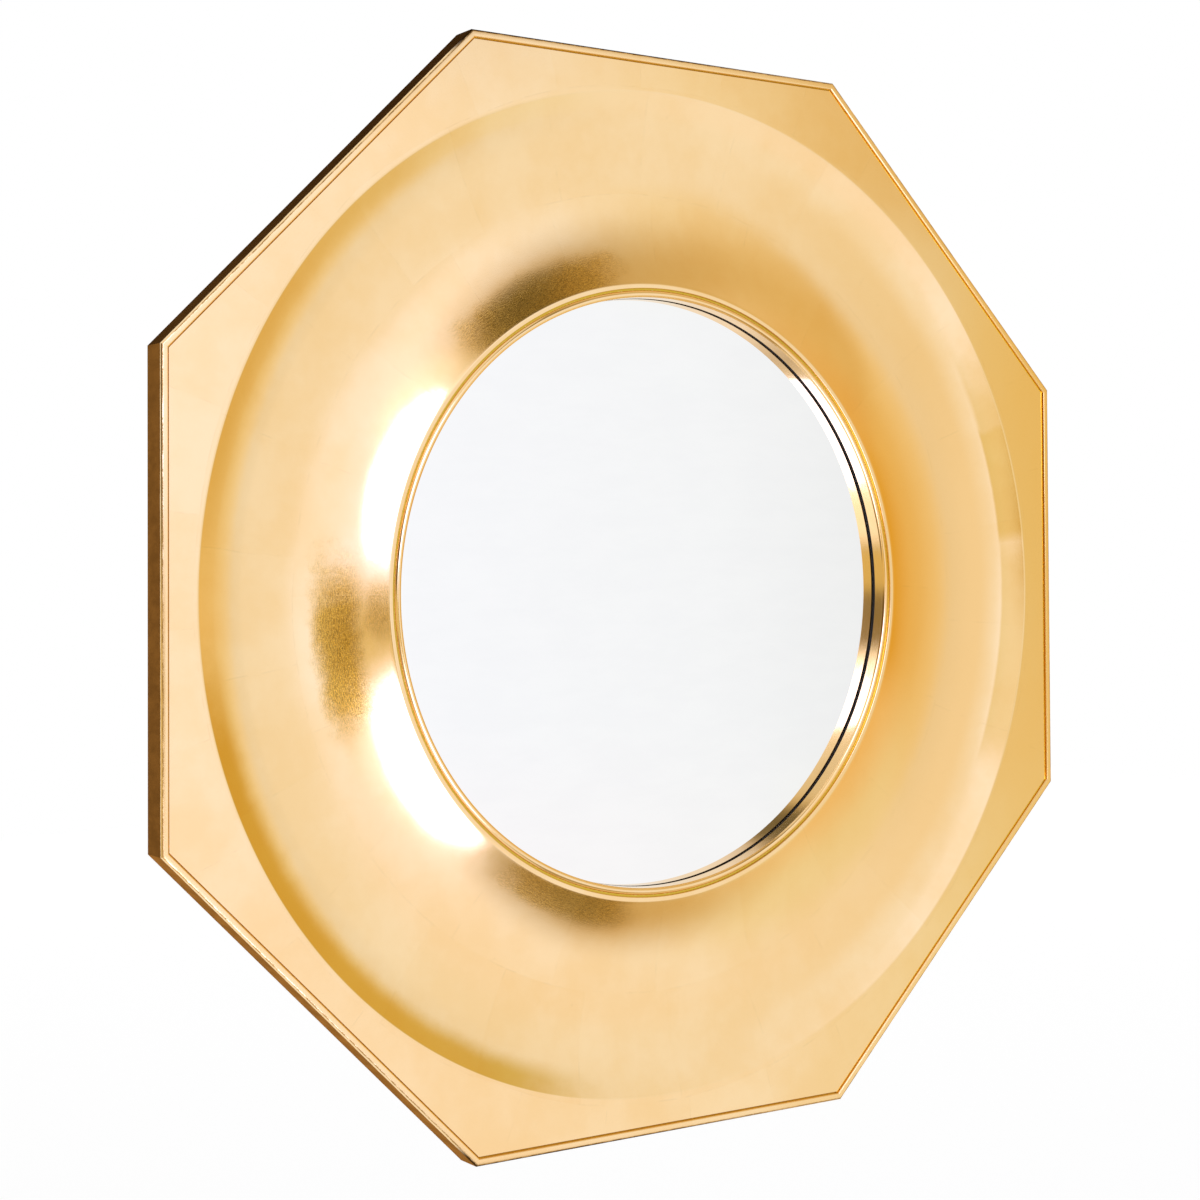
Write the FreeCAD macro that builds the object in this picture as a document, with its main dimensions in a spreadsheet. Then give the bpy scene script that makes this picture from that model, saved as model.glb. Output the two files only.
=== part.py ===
import FreeCAD, Part
import math
import os
import Sketcher

# Octagonal gilded wall mirror with a round plane glass in a turned dish.
# Millimetres. X runs to the right, Z up and Y into the wall. The origin is the centre of the octagon
# on the wall plane, so every piece lies at negative y and the mirror faces -Y.

SIZES = (
    # octagon and its applied edge bands
    ("across_flats", 900),
    ("edge_depth", 25.5),
    ("edge_band_thickness", 6),
    ("bead_proud", 3),
    ("bead_outer_round", 2),
    ("bead_inner_round", 1),
    ("face_arris", 0.8),
    # dish turned into the face, from the octagon's flats inwards
    ("moulding_width", 202.2),
    ("margin_at_flats", 30),
    ("dish_band_width", 27),
    ("dish_band_curve", 500),
    ("floor_wood", 6),
    ("crease_rise", 6.6),
    ("floor_from_rim", 75.25),
    ("rim_drop", 4.6),
    ("rim_land", 1.5),
    # beaded ring round the mirror opening
    ("sight_ring_width", 7.5),
    ("sight_bead_rise", 2),
    ("quirk_width", 1.8),
    ("quirk_depth", 1.6),
    ("glue_gap", 0.05),
    # glass, its tape and the panel that holds it
    ("tape_thickness", 2.5),
    ("tape_setback", 1),
    ("tape_width", 12),
    ("glass_thickness", 3),
    ("glass_lap", 15),
    ("glass_clearance", 2),
    ("panel_thickness", 2.5),
    ("panel_lap", 20),
    # glued corner joints
    ("biscuit_length", 47),
    ("biscuit_width", 15),
    ("biscuit_thickness", 4),
    ("biscuit_gap", 0.1),
    # pan head wood screws
    ("screw_diameter", 3),
    ("screw_point", 4),
    ("screw_head_diameter", 6),
    ("screw_crown_diameter", 4.8),
    ("screw_head_height", 2),
    ("screw_clearance", 0.05),
    ("recess_length", 3.4),
    ("recess_width", 0.9),
    ("recess_depth", 1.1),
    ("panel_screw_length", 9),
    ("hanger_screw_length", 15),
    ("bumper_screw_length", 18),
    ("pilot_spare", 0.5),
    # hanger straps with their D shaped rings
    ("hanger_inset", 22),
    ("hanger_below_corner", 36),
    ("strap_width", 16),
    ("strap_length", 43),
    ("strap_thickness", 1.2),
    ("knuckle_lift", 0.3),
    ("ring_wire", 3),
    ("ring_side_play", 0.5),
    ("ring_corner", 3),
    ("ring_leg", 5),
    ("ring_clearance", 0.1),
    ("upper_screw_drop", 25),
    ("lower_screw_drop", 37),
    # rubber bumpers against the wall
    ("bumper_height", 8),
    ("bumper_base_diameter", 19),
    ("bumper_face_diameter", 16),
    ("bumper_floor", 4),
    ("bumper_well_clearance", 1),
    ("bumper_inset", 22),
    ("bumper_from_corner", 56),
)

# Sides of the octagon, anticlockwise from the right as seen from the front
PLACES = ("right", "upper_right", "top", "upper_left", "left", "lower_left", "bottom", "lower_right")
TURN = 360 / len(PLACES)
HALF_TURN = "%g deg" % (TURN / 2)

doc = FreeCAD.newDocument("octagonal_mirror")
sheet = doc.addObject("Spreadsheet::Sheet", "Sizes")
for row, (alias, number) in enumerate(SIZES, start=1):
    sheet.set("A%d" % row, alias)
    sheet.set("B%d" % row, str(number))
    sheet.setAlias("B%d" % row, alias)
doc.recompute()

# Depths, as y of each plane
BACK = "(-Sizes.bumper_height)"
PANEL_BACK = "(%s + Sizes.panel_thickness)" % BACK
GLASS_FRONT = "(%s - Sizes.glass_thickness)" % BACK
SHOULDER = "(%s - Sizes.tape_thickness)" % GLASS_FRONT
FLOOR = "(%s - Sizes.floor_wood)" % BACK
CREASE = "(%s - Sizes.crease_rise)" % FLOOR
BEAD = "(%s - Sizes.edge_depth)" % BACK
FACE = "(%s + Sizes.bead_proud)" % BEAD
RIM = "(%s + Sizes.rim_drop)" % FACE

# Distances and radii from the mirror's axis
EDGE = "(Sizes.across_flats / 2)"
BOARD = "(%s - Sizes.edge_band_thickness)" % EDGE
BOARD_CORNER = "(%s / cos(%s))" % (BOARD, HALF_TURN)
DISH_R = "(%s - Sizes.margin_at_flats)" % EDGE
CREASE_R = "(%s - Sizes.dish_band_width)" % DISH_R
SIGHT_R = "(%s - Sizes.moulding_width)" % EDGE
RING_R = "(%s + Sizes.sight_ring_width)" % SIGHT_R
BORE_R = "(%s + Sizes.glue_gap)" % RING_R
RIM_R = "(%s + Sizes.rim_land)" % BORE_R
FLOOR_R = "(%s + Sizes.floor_from_rim)" % RIM_R
GLASS_R = "(%s + Sizes.glass_lap)" % SIGHT_R
GLASS_RECESS_R = "(%s + Sizes.glass_clearance)" % GLASS_R
PANEL_R = "(%s + Sizes.panel_lap)" % GLASS_RECESS_R
PANEL_SCREW_R = "((%s + %s) / 2)" % (GLASS_RECESS_R, PANEL_R)

# Hardware on the back, as distances from the axis towards a side and along that side
PILOT_R = "(Sizes.screw_diameter / 2 + Sizes.screw_clearance)"
CORNER_REACH = "(%s * tan(%s))" % (EDGE, HALF_TURN)
HANGER_OUT = "(%s - Sizes.hanger_inset)" % BOARD
HANGER_UP = "(%s - Sizes.hanger_below_corner)" % CORNER_REACH
BUMPER_OUT = "(%s - Sizes.bumper_inset)" % BOARD
BUMPER_ALONG = "(%s - Sizes.bumper_from_corner)" % CORNER_REACH
RING_HOLE_R = "(Sizes.ring_wire / 2 + Sizes.ring_clearance)"
KNUCKLE_R = "(%s + Sizes.strap_thickness)" % RING_HOLE_R
RING_AXIS = "(%s + Sizes.knuckle_lift)" % KNUCKLE_R


def value(expression):
    return float(sheet.evalExpression(expression))


def new_body(label):
    body = doc.addObject("PartDesign::Body", label)
    body.Label = label
    return body


def origin_feature(body, role):
    return next(feature for feature in body.Origin.OriginFeatures if feature.Role == role)


def new_sketch(body, label, role, offset="0"):
    sketch = body.newObject("Sketcher::SketchObject", label)
    sketch.AttachmentSupport = [(origin_feature(body, role), "")]
    sketch.MapMode = "FlatFace"
    sketch.setExpression("AttachmentOffset.Base.z", offset)
    return sketch


def section_sketch(body, label):
    # Section of a turned piece: radius along X, depth along Y
    return new_sketch(body, label, "XY_Plane")


def front_sketch(body, label, depth="0"):
    # Outline seen from the front, at a depth y: its normal points to -Y
    return new_sketch(body, label, "XZ_Plane", "-" + depth)


def set_point(sketch, edge, end, x, y):
    for kind, place in (("DistanceX", x), ("DistanceY", y)):
        number = sketch.addConstraint(Sketcher.Constraint(kind, -1, 1, edge, end, value(place)))
        sketch.setExpression("Constraints[%d]" % number, place)


def set_radius(sketch, edge, radius):
    number = sketch.addConstraint(Sketcher.Constraint("Radius", edge, value(radius)))
    sketch.setExpression("Constraints[%d]" % number, radius)


def arc_between(start, finish, radius, turns_left):
    chord = finish - start
    across = FreeCAD.Vector(-chord.y, chord.x, 0).normalize()
    reach = math.sqrt(max(radius ** 2 - (chord.Length / 2) ** 2, 0))
    centre = (start + finish) / 2 + across * (reach if turns_left else -reach)
    first, last = (start, finish) if turns_left else (finish, start)
    angles = [math.atan2(point.y - centre.y, point.x - centre.x) for point in (first, last)]
    circle = Part.Circle(centre, FreeCAD.Vector(0, 0, 1), radius)
    return Part.ArcOfCircle(circle, angles[0], angles[1])


def outline(sketch, corners):
    # Each corner is (x, y), with (radius, turns_left) added where an arc runs on from it
    points = [FreeCAD.Vector(value(corner[0]), value(corner[1]), 0) for corner in corners]
    ends = []
    for number, corner in enumerate(corners):
        start, finish = points[number], points[(number + 1) % len(points)]
        if len(corner) == 2:
            edge = sketch.addGeometry(Part.LineSegment(start, finish), False)
            ends.append((edge, 1, 2))
        else:
            radius, turns_left = corner[2:]
            edge = sketch.addGeometry(arc_between(start, finish, value(radius), turns_left), False)
            ends.append((edge, 1, 2) if turns_left else (edge, 2, 1))
    for (edge, _, end), (following, begin, _) in zip(ends, ends[1:] + ends[:1]):
        sketch.addConstraint(Sketcher.Constraint("Coincident", edge, end, following, begin))
    for (edge, begin, _), corner in zip(ends, corners):
        set_point(sketch, edge, begin, corner[0], corner[1])
        if len(corner) > 2:
            set_radius(sketch, edge, corner[2])


def circle(sketch, radius, x="0", y="0"):
    centre = FreeCAD.Vector(value(x), value(y), 0)
    edge = sketch.addGeometry(Part.Circle(centre, FreeCAD.Vector(0, 0, 1), value(radius)), False)
    set_point(sketch, edge, 3, x, y)
    set_radius(sketch, edge, radius)


def pad(body, sketch, label, length, sides="One side"):
    feature = body.newObject("PartDesign::Pad", label)
    feature.Profile = sketch
    feature.SideType = sides
    feature.setExpression("Length", length)
    return feature


def pocket(body, sketch, label, depth):
    # A pocket cuts against its sketch's normal unless it is reversed, as here towards the front
    doc.recompute()
    before = body.Shape.Volume
    feature = body.newObject("PartDesign::Pocket", label)
    feature.Profile = sketch
    feature.Reversed = True
    feature.setExpression("Length", depth)
    doc.recompute()
    if not feature.Shape.Volume < before:
        raise RuntimeError("%s of %s cuts nothing" % (label, body.Label))
    return feature


def turned(body, sketch, label, angle="360"):
    feature = body.newObject("PartDesign::Revolution", label)
    feature.Profile = sketch
    feature.ReferenceAxis = (sketch, ["V_Axis"])
    feature.Midplane = True
    feature.setExpression("Angle", angle)
    return feature


def polar_pattern(body, feature, label):
    doc.recompute()
    pattern = body.newObject("PartDesign::PolarPattern", label)
    pattern.Originals = [feature]
    pattern.Axis = (origin_feature(body, "Y_Axis"), [""])
    pattern.Angle = 360
    pattern.Occurrences = len(PLACES)
    body.Tip = pattern
    return pattern


def turn_to_side(body, number):
    # Turned about the mirror's axis, anticlockwise from the front
    body.Placement = FreeCAD.Placement(
        FreeCAD.Vector(0, 0, 0), FreeCAD.Rotation(FreeCAD.Vector(0, -1, 0), TURN * number))


def move_to(piece, x, y, z):
    for axis, place in (("x", x), ("y", y), ("z", z)):
        piece.setExpression("Placement.Base." + axis, place)


def straight_arris(shape, out, depth):
    # The long edge across the X axis at a distance from the mirror's axis and at a depth y
    near = 1e-4
    for number, edge in enumerate(shape.Edges, start=1):
        ends = [vertex.Point for vertex in edge.Vertexes]
        if all(abs(end.x - out) < near and abs(end.y - depth) < near for end in ends):
            return "Edge%d" % number
    raise RuntimeError("no arris at %g, %g" % (out, depth))


def ease_arris(body, kind, measure, out, depth, size):
    doc.recompute()
    base = body.Tip
    eased = body.newObject(kind, size)
    eased.Base = (base, [straight_arris(base.Shape, value(out), value(depth))])
    eased.setExpression(measure, "Sizes." + size)


# Mitred boards, each a sector of the turned frame with a straight outer edge
def biscuit_lens(sketch, side, length, width):
    # Two arcs that meet on the mitre line, in the middle of the full board outside the dish
    middle = "((%s + %s) / 2)" % (DISH_R, BOARD_CORNER)
    curve = "((%s)^2 + (%s)^2) / (4 * (%s))" % (length, width, width)
    tips = []
    for half in ("- (%s) / 2" % length, "+ (%s) / 2" % length):
        reach = "(%s %s)" % (middle, half)
        tips.append(("%s * cos(%s)" % (reach, HALF_TURN), "%s * %s * sin(%s)" % (side, reach, HALF_TURN)))
    outline(sketch, [tip + (curve, True) for tip in tips])


def drill(body, label, depth_plane, holes, length):
    sketch = front_sketch(body, label + "_circles", depth_plane)
    for out, along in holes:
        circle(sketch, PILOT_R, out, along)
    pocket(body, sketch, label, length)


def frame_segment(number):
    place = PLACES[number]
    body = new_body("frame_segment_" + place)
    section = section_sketch(body, "section")
    # A nearly straight band, then two arcs that are both level where they meet on the lowest ring
    crease_run = "(%s - %s)" % (CREASE_R, FLOOR_R)
    rim_rise = "(%s - %s)" % (FLOOR, RIM)
    floor_curve = "((%s)^2 + (%s)^2) / (2 * (%s))"
    outline(section, [
        (BOARD_CORNER, BACK),
        (BOARD_CORNER, FACE),
        (DISH_R, FACE, "Sizes.dish_band_curve", True),
        (CREASE_R, CREASE, floor_curve % (crease_run, "Sizes.crease_rise", "Sizes.crease_rise"), True),
        (FLOOR_R, FLOOR, floor_curve % ("Sizes.floor_from_rim", rim_rise, rim_rise), True),
        (RIM_R, RIM),
        (BORE_R, RIM),
        (BORE_R, SHOULDER),
        (GLASS_RECESS_R, SHOULDER),
        (GLASS_RECESS_R, BACK),
    ])
    turned(body, section, "dished_sector", "%g" % TURN)

    trim = front_sketch(body, "edge_trim_outline", BACK)
    outline(trim, [
        (BOARD, "-" + BOARD_CORNER),
        (BOARD_CORNER, "-" + BOARD_CORNER),
        (BOARD_CORNER, BOARD_CORNER),
        (BOARD, BOARD_CORNER),
    ])
    pocket(body, trim, "edge_trim", "Sizes.edge_depth")
    ease_arris(body, "PartDesign::Chamfer", "Size", BOARD, FACE, "face_arris")

    slot_depth = "(%s - %s) / 2 - Sizes.biscuit_thickness / 2 - Sizes.biscuit_gap" % (BACK, FACE)
    slots = front_sketch(body, "biscuit_slot_outline", "(%s - (%s))" % (BACK, slot_depth))
    for side in ("-1", "1"):
        biscuit_lens(slots, side, "Sizes.biscuit_length + 2 * Sizes.biscuit_gap",
                     "Sizes.biscuit_width + 2 * Sizes.biscuit_gap")
    pocket(body, slots, "biscuit_slots", "Sizes.biscuit_thickness + 2 * Sizes.biscuit_gap")

    bite = "Sizes.%s_screw_length + Sizes.pilot_spare - Sizes.%s"
    drill(body, "panel_pilot", BACK, [(PANEL_SCREW_R, "0")], bite % ("panel", "panel_thickness"))
    if place in ("left", "right"):
        up = "" if place == "right" else "-"
        holes = [(HANGER_OUT, "%s(%s - Sizes.%s_screw_drop)" % (up, HANGER_UP, which))
                 for which in ("upper", "lower")]
        drill(body, "hanger_pilots", BACK, holes, bite % ("hanger", "strap_thickness"))
    if place in ("top", "bottom"):
        holes = [(BUMPER_OUT, sign + BUMPER_ALONG) for sign in ("", "-")]
        drill(body, "bumper_pilots", BACK, holes, bite % ("bumper", "bumper_floor"))
    turn_to_side(body, number)
    return body


# Thin lippings round the octagon, rounded in front where they stand proud as a bead
def edge_band(number):
    body = new_body("edge_band_" + PLACES[number])
    plan = front_sketch(body, "plan", BACK)
    slope = "tan(%s)" % HALF_TURN
    outline(plan, [
        (BOARD, "-%s * %s" % (BOARD, slope)),
        (EDGE, "-%s * %s" % (EDGE, slope)),
        (EDGE, "%s * %s" % (EDGE, slope)),
        (BOARD, "%s * %s" % (BOARD, slope)),
    ])
    pad(body, plan, "stock", "Sizes.edge_depth")
    ease_arris(body, "PartDesign::Fillet", "Radius", EDGE, BEAD, "bead_outer_round")
    ease_arris(body, "PartDesign::Fillet", "Radius", BOARD, BEAD, "bead_inner_round")
    turn_to_side(body, number)
    return body


def mitre_biscuits():
    body = new_body("mitre_biscuits")
    middle = "((%s + %s) / 2)" % (BACK, FACE)
    plan = front_sketch(body, "lens", middle)
    biscuit_lens(plan, "1", "Sizes.biscuit_length", "Sizes.biscuit_width")
    biscuit = pad(body, plan, "biscuit", "Sizes.biscuit_thickness", "Symmetric")
    polar_pattern(body, biscuit, "one_per_corner")
    return body


# Turned bead that lines the mirror opening, with a fine quirk outside it
def sight_ring():
    body = new_body("sight_ring")
    section = section_sketch(body, "section")
    quirk = "(%s + Sizes.quirk_depth)" % RIM
    bead_out = "(%s - Sizes.quirk_width)" % RING_R
    width = "(Sizes.sight_ring_width - Sizes.quirk_width)"
    curve = "((%s / 2)^2 + Sizes.sight_bead_rise^2) / (2 * Sizes.sight_bead_rise)" % width
    outline(section, [
        (RING_R, SHOULDER),
        (RING_R, quirk),
        (bead_out, quirk, curve, False),
        (SIGHT_R, quirk),
        (SIGHT_R, SHOULDER),
    ])
    turned(body, section, "beaded_ring")
    return body


# Black foam tape between the frame's shoulder and the glass
def glass_tape():
    body = new_body("glass_tape")
    inside = "(%s + Sizes.tape_setback)" % SIGHT_R
    ring = front_sketch(body, "ring", GLASS_FRONT)
    circle(ring, inside)
    circle(ring, "(%s + Sizes.tape_width)" % inside)
    pad(body, ring, "tape", "Sizes.tape_thickness")
    return body


def mirror_glass():
    body = new_body("mirror_glass")
    disc = front_sketch(body, "disc", BACK)
    circle(disc, GLASS_R)
    pad(body, disc, "glass", "Sizes.glass_thickness")
    return body


def back_panel():
    body = new_body("back_panel")
    disc = front_sketch(body, "disc", PANEL_BACK)
    circle(disc, PANEL_R)
    pad(body, disc, "panel", "Sizes.panel_thickness")
    hole = front_sketch(body, "hole", PANEL_BACK)
    circle(hole, PILOT_R, PANEL_SCREW_R)
    first = pocket(body, hole, "screw_hole", "Sizes.panel_thickness")
    polar_pattern(body, first, "screw_holes")
    return body


# Pan head screw along Y: its head seats at y = 0 and its point looks to -Y
def screw(body, length):
    radius = "(Sizes.screw_diameter / 2)"
    tip = "-(%s)" % length
    head_radius = "(Sizes.screw_head_diameter / 2)"
    section = section_sketch(body, "section")
    outline(section, [
        ("0", tip),
        (radius, tip + " + Sizes.screw_point"),
        (radius, "0"),
        (head_radius, "0"),
        (head_radius, "Sizes.screw_head_height / 2"),
        ("Sizes.screw_crown_diameter / 2", "Sizes.screw_head_height"),
        ("0", "Sizes.screw_head_height"),
    ])
    turned(body, section, "screw")
    cross = front_sketch(body, "cross", "Sizes.screw_head_height")
    arm = "(Sizes.recess_length / 2)"
    waist = "(Sizes.recess_width / 2)"
    quarter = ((arm, waist), (waist, waist), (waist, arm))
    signs = (("", ""), ("-", ""), ("-", "-"), ("", "-"))
    corners = []
    for number, (sign_x, sign_y) in enumerate(signs):
        points = quarter if number % 2 == 0 else quarter[::-1]
        corners += [(sign_x + x, sign_y + y) for x, y in points]
    outline(cross, corners)
    pocket(body, cross, "cross_recess", "Sizes.recess_depth")


def screw_group(label, length, seat, places):
    screws = []
    for number, (x, z) in enumerate(places, start=1):
        body = new_body("%s_%d" % (label, number))
        screw(body, length)
        move_to(body, x, seat, z)
        screws.append(body)
    group = doc.addObject("Part::Compound", label)
    group.Label = label
    group.Links = screws
    return group


def panel_screw_places():
    places = []
    for number in range(len(PLACES)):
        angle = "%g deg" % (TURN * number)
        places.append(("%s * cos(%s)" % (PANEL_SCREW_R, angle), "%s * sin(%s)" % (PANEL_SCREW_R, angle)))
    return places


# Strap hanger: a plate with a knuckle for the ring's bar at its upper end
def primitive(kind, label, **sizes):
    piece = doc.addObject("Part::" + kind, label)
    for name, size in sizes.items():
        piece.setExpression(name, size)
    return piece


def along_x(label, radius, length, x, y, z):
    piece = primitive("Cylinder", label, Radius=radius, Height=length)
    piece.Placement.Rotation = FreeCAD.Rotation(FreeCAD.Vector(0, 1, 0), 90)
    move_to(piece, x, y, z)
    return piece


def along_y(label, radius, length, x, y, z):
    piece = primitive("Cylinder", label, Radius=radius, Height=length)
    piece.Placement.Rotation = FreeCAD.Rotation(FreeCAD.Vector(1, 0, 0), -90)
    move_to(piece, x, y, z)
    return piece


def hanger_strap(side, sign):
    label = "hanger_strap_" + side
    middle = sign + HANGER_OUT
    left_edge = "(%s - Sizes.strap_width / 2)" % middle
    pivot = "(%s + %s)" % (BACK, RING_AXIS)
    plate = primitive("Box", label + "_plate", Length="Sizes.strap_width", Width="Sizes.strap_thickness",
                      Height="Sizes.strap_length + " + KNUCKLE_R)
    move_to(plate, left_edge, BACK, "%s - Sizes.strap_length" % HANGER_UP)
    knuckle = along_x(label + "_knuckle", KNUCKLE_R, "Sizes.strap_width", left_edge, pivot, HANGER_UP)
    curled = doc.addObject("Part::Fuse", label + "_curled")
    curled.Base = plate
    curled.Tool = knuckle
    cuts = [along_x(label + "_bar_hole", RING_HOLE_R, "Sizes.strap_width", left_edge, pivot, HANGER_UP)]
    for which in ("upper", "lower"):
        height = "%s - Sizes.%s_screw_drop" % (HANGER_UP, which)
        cuts.append(along_y(label + "_hole_" + which, PILOT_R, "Sizes.strap_thickness", middle, BACK, height))
    piece = curled
    for cut in cuts:
        whole = piece
        piece = doc.addObject("Part::Cut", cut.Label.replace("_hole", "_bored"))
        piece.Base = whole
        piece.Tool = cut
    piece.Label = label
    return piece


# D shaped wire ring, hanging from its straight bar
def hanger_ring(side, sign):
    body = new_body("hanger_ring_" + side)
    bar = "(Sizes.strap_width / 2 + Sizes.ring_side_play)"
    half = "(%s + Sizes.ring_corner)" % bar
    leg_top = "-Sizes.ring_corner"
    leg_end = "-(Sizes.ring_corner + Sizes.ring_leg)"
    bottom = "-(Sizes.ring_corner + Sizes.ring_leg + %s)" % half
    loop = front_sketch(body, "loop")
    outline(loop, [
        ("-" + bar, "0"),
        (bar, "0", "Sizes.ring_corner", False),
        (half, leg_top),
        (half, leg_end, half, False),
        ("0", bottom, half, False),
        ("-" + half, leg_end),
        ("-" + half, leg_top, "Sizes.ring_corner", False),
    ])
    wire = new_sketch(body, "wire", "YZ_Plane")
    circle(wire, "Sizes.ring_wire / 2")
    ring = body.newObject("PartDesign::AdditivePipe", "bent_wire")
    ring.Profile = wire
    ring.Spine = loop
    move_to(body, sign + HANGER_OUT, "%s + %s" % (BACK, RING_AXIS), HANGER_UP)
    return body


# Rubber bumper with a well for the head of its screw
def wall_bumper(place, x, z):
    body = new_body("wall_bumper_" + place)
    section = section_sketch(body, "section")
    well = "(Sizes.screw_head_diameter / 2 + Sizes.bumper_well_clearance)"
    floor = "(%s + Sizes.bumper_floor)" % BACK
    outline(section, [
        (PILOT_R, BACK),
        ("Sizes.bumper_base_diameter / 2", BACK),
        ("Sizes.bumper_face_diameter / 2", "0"),
        (well, "0"),
        (well, floor),
        (PILOT_R, floor),
    ])
    turned(body, section, "bumper")
    move_to(body, x, "0", z)
    return body


def hanger_screw_places():
    return [(sign + HANGER_OUT, "%s - Sizes.%s_screw_drop" % (HANGER_UP, which))
            for sign in ("", "-") for which in ("upper", "lower")]


bumper_places = {
    "upper_right": (BUMPER_ALONG, BUMPER_OUT),
    "upper_left": ("-" + BUMPER_ALONG, BUMPER_OUT),
    "lower_left": ("-" + BUMPER_ALONG, "-" + BUMPER_OUT),
    "lower_right": (BUMPER_ALONG, "-" + BUMPER_OUT),
}

pieces = []
for number in range(len(PLACES)):
    pieces.append(frame_segment(number))
    pieces.append(edge_band(number))
pieces += [mitre_biscuits(), sight_ring(), glass_tape(), mirror_glass(), back_panel()]
pieces.append(screw_group("back_panel_screws", "Sizes.panel_screw_length", PANEL_BACK, panel_screw_places()))
for side, sign in (("left", "-"), ("right", "")):
    pieces.append(hanger_strap(side, sign))
    pieces.append(hanger_ring(side, sign))
strap_front = "%s + Sizes.strap_thickness" % BACK
pieces.append(screw_group("hanger_screws", "Sizes.hanger_screw_length", strap_front, hanger_screw_places()))
for place, (x, z) in bumper_places.items():
    pieces.append(wall_bumper(place, x, z))
well_floor = "%s + Sizes.bumper_floor" % BACK
pieces.append(screw_group("bumper_screws", "Sizes.bumper_screw_length", well_floor, bumper_places.values()))
doc.recompute()

for thing in doc.Objects:
    if "Invalid" in thing.State or "Error" in thing.State:
        raise RuntimeError("%s failed: %s" % (thing.Label, thing.State))
for piece in pieces:
    if piece.Shape.isNull() or not piece.Shape.isValid():
        raise RuntimeError("%s has no valid shape" % piece.Label)

os.makedirs("parts", exist_ok=True)
for piece in pieces:
    piece.Shape.exportStep("parts/%s.step" % piece.Label)
    box = piece.Shape.optimalBoundingBox(False)
    print("%-26s %d solids %12.1f mm3  x %.2f..%.2f  y %.2f..%.2f  z %.2f..%.2f" % (
        piece.Label, len(piece.Shape.Solids), piece.Shape.Volume,
        box.XMin, box.XMax, box.YMin, box.YMax, box.ZMin, box.ZMax))
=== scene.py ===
# Octagonal gilded wall mirror: the looks, in metres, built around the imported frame
import bmesh
import bpy
from math import atan2, cos, dist, hypot, pi, radians, sin, sqrt, tan
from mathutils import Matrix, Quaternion, Vector


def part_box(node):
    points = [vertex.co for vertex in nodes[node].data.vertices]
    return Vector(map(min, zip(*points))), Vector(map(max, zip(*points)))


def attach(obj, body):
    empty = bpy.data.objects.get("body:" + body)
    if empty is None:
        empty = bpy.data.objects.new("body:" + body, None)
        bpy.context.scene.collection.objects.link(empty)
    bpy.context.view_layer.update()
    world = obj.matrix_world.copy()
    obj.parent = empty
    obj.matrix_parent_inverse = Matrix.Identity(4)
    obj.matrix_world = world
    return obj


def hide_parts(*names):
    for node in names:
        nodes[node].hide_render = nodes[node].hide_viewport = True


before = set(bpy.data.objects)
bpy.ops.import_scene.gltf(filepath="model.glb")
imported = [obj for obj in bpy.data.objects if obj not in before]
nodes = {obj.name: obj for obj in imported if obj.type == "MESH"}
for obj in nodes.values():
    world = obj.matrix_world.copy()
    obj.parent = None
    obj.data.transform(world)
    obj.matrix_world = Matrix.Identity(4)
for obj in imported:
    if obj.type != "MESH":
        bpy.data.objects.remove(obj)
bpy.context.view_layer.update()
scene = bpy.context.scene

sideNames = ("right", "upper_right", "top", "upper_left", "left", "lower_left", "bottom", "lower_right")
fullTurn = 2 * pi
sideTurn = fullTurn / len(sideNames)
sideTurns = [sideTurn * number for number in range(len(sideNames))]
stepsRound = 576  # a multiple of 16, so that every corner of the octagon falls on a step

# depths read from the frame: y of the back plane, the bead's top, the glass and the rebate's shoulder
bandLow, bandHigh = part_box("edge_band_right")
backY, beadY, edgeOut = bandHigh.y, bandLow.y, bandHigh.x
glassY, glassBackY = (corner.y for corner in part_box("mirror_glass"))
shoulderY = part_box("glass_tape")[0].y
print("frame loaded:", len(nodes), "nodes, across flats", round(2 * edgeOut, 4))


# a value in a node tree: sums written with such values make the nodes for them
class Wire:
    def __init__(self, socket):
        self.socket, self.tree = socket, socket.id_data

    def __add__(self, other):
        return calc("ADD", self, other)

    def __sub__(self, other):
        return calc("SUBTRACT", self, other)

    def __rsub__(self, other):
        return calc("SUBTRACT", other, self)

    def __mul__(self, other):
        return calc("MULTIPLY", self, other)

    def __truediv__(self, other):
        return calc("DIVIDE", self, other)


# short node helpers
def feed(socket, value):
    if isinstance(value, Wire):
        value.tree.links.new(value.socket, socket)
    elif value is not None:
        socket.default_value = value


def addNode(tree, kind, given=None, **settings):
    # given holds what goes into the node, by the name or the number of the socket
    node = tree.nodes.new(kind)
    for name, value in settings.items():
        setattr(node, name, value)
    for key, value in (given or {}).items():
        feed(node.inputs[key], value)
    return node


def wired(tree, kind, given=None, output=0, **settings):
    return Wire(addNode(tree, kind, given, **settings).outputs[output])


def treeOf(*values):
    return next(value.tree for value in values if isinstance(value, Wire))


def calc(operation, *values, clamp=False):
    given = dict(enumerate(values))
    return wired(treeOf(*values), "ShaderNodeMath", given, operation=operation, use_clamp=clamp)


def highest(first, *others):
    for value in others:
        first = calc("MAXIMUM", first, value)
    return first


def remap(value, fromLow, fromHigh, toLow=0.0, toHigh=1.0, kind="SMOOTHSTEP"):
    given = dict(enumerate((value, fromLow, fromHigh, toLow, toHigh)))
    return wired(value.tree, "ShaderNodeMapRange", given, interpolation_type=kind)


def fade(value, fromLow, fromHigh, top=1.0):
    return remap(value, fromLow, fromHigh, top, 0.0)


def blend(factor, a, b, kind="MIX"):
    given = {"Factor": factor, 6: a, 7: b}
    return wired(treeOf(factor, a, b), "ShaderNodeMix", given, 2, data_type="RGBA", blend_type=kind)


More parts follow.
